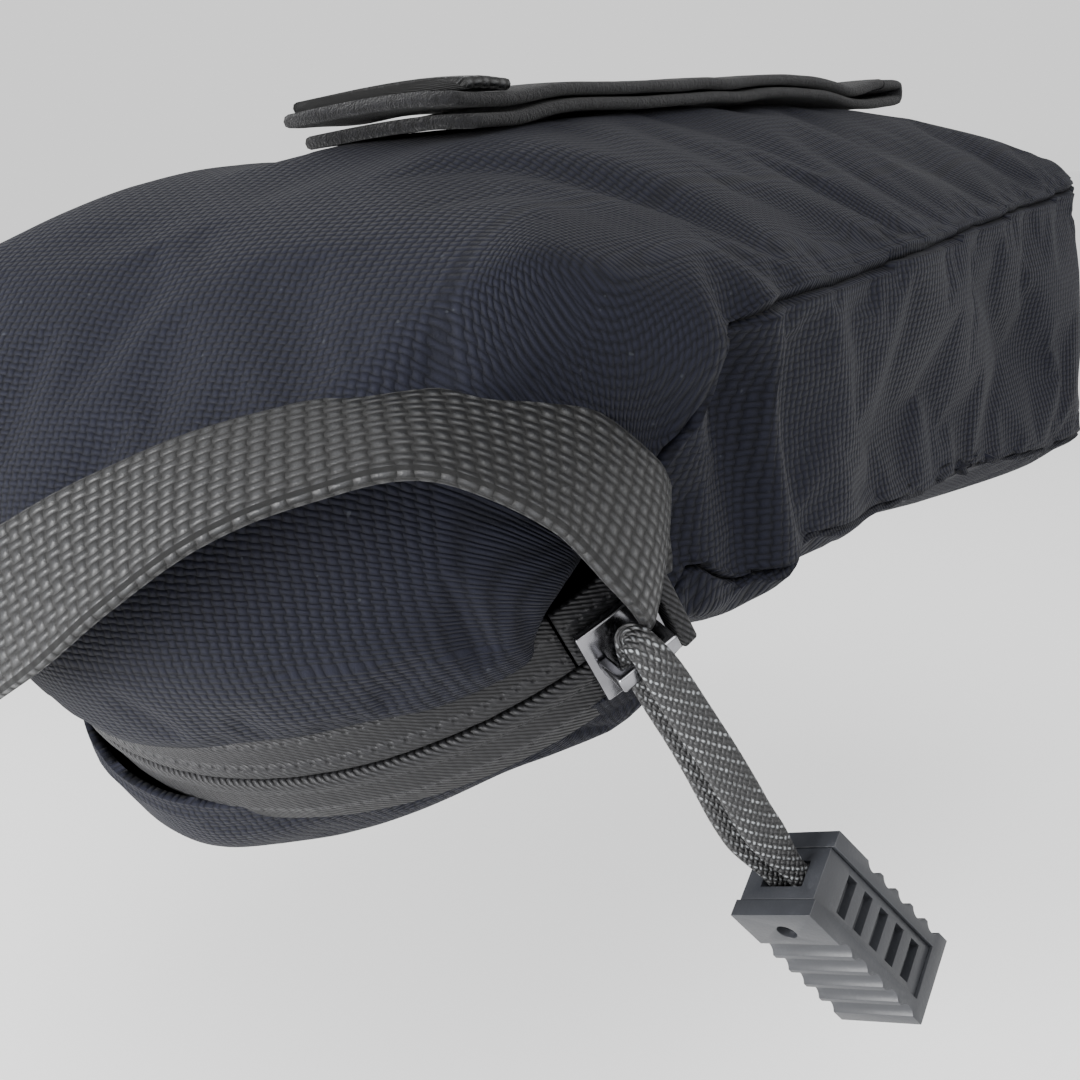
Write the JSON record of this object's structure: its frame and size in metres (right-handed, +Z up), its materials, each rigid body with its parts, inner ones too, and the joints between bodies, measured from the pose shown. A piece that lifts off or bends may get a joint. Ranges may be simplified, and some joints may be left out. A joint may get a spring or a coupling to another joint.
{
  "type": "bicycle saddle bag",
  "caption": "Soft saddle bag with a curved rear zip under a lifting hood, cord zip puller, webbing light loop, hook-and-loop rail strap and a seat post loop.",
  "frame": {"origin": "middle of the rail strap's seat, where the saddle rails cross between its two layers", "axes": "+Z up towards the saddle, +Y forward towards the seat post, +X to the rider's right"},
  "size_m": [0.1119, 0.2463, 0.1023],
  "materials": {
    "shell_fabric": "dark navy-black plain-weave polyester, matt with a faint sheen",
    "webbing": "black ribbed webbing",
    "zip_tape": "black twill zip tape",
    "zip_coil": "black coil",
    "slider_metal": "black nickel",
    "cord": "flat black braid with grey flecks",
    "puller_plastic": "dark grey moulded plastic",
    "pin_metal": "dark steel",
    "hook_loop": "black hook-and-loop tape",
    "label_weave": "orange-red woven label, no marking",
    "binding": "black binding tape"
  },
  "bodies": {
    "bag": {"top_panel": "shell_fabric", "bottom_panel": "shell_fabric", "gusset_right": "shell_fabric", "gusset_left": "shell_fabric", "nose_panel": "shell_fabric", "binding_right": "binding", "binding_left": "binding", "zip_tape_lower": "zip_tape", "zip_coil_lower": "zip_coil", "zip_end_right": "zip_tape", "zip_end_left": "zip_tape", "zip_lip_right": "zip_tape", "zip_lip_left": "zip_tape", "loop_anchor_right": "webbing", "loop_anchor_left": "webbing", "rail_strap_base": "hook_loop", "rail_strap_fold": "hook_loop", "side_label": "label_weave", "post_strap": "webbing", "post_patch": "webbing", "hood_fold": "shell_fabric"},
    "hood": {"rear_hood": "shell_fabric", "zip_tape_upper": "zip_tape", "zip_coil_upper": "zip_coil"},
    "loop": {"light_loop": "webbing"},
    "slider": {"slider_body": "slider_metal", "slider_crown": "slider_metal"},
    "pull": {"pull_cord": "cord"},
    "puller": {"puller_frame": "puller_plastic", "puller_insert": "puller_plastic", "puller_pin": "pin_metal"},
    "hook_strap": {"rail_strap_hook": "hook_loop", "rail_strap_hem": "hook_loop"}
  },
  "joints": [
    {"name": "hood_lift", "type": "hinge", "parent": "bag", "child": "hood", "pos_m": [0, -0.08, -0.0486], "axis": [-1, 0, 0], "range_deg": [0, 25], "deforming": ["hood_fold"]},
    {"name": "loop_swing", "type": "hinge", "parent": "bag", "child": "loop", "pos_m": [0, -0.079, -0.0406], "axis": [-1, 0, 0], "range_deg": [-15, 8]},
    {"name": "slider_travel", "type": "hinge", "parent": "bag", "child": "slider", "pos_m": [0, -0.06291, -0.03664], "axis": [0, -0.5736, 0.8192], "range_deg": [-115, 0]},
    {"name": "pull_swing", "type": "hinge", "parent": "slider", "child": "pull", "pos_m": [0.04343, -0.08558, -0.05251], "axis": [-0.5373, -0.6909, -0.4837], "range_deg": [0, 80], "deforming": ["pull_cord"]},
    {"name": "puller_swing", "type": "hinge", "parent": "pull", "child": "puller", "pos_m": [0.0522, -0.0702, -0.0742], "axis": [-0.5373, -0.6909, -0.4837], "range_deg": [-25, 25], "deforming": ["pull_cord"]},
    {"name": "strap_peel", "type": "hinge", "parent": "bag", "child": "hook_strap", "pos_m": [0, 0.068, 0.0019], "axis": [-1, 0, 0], "range_deg": [0, 165]}
  ]
}
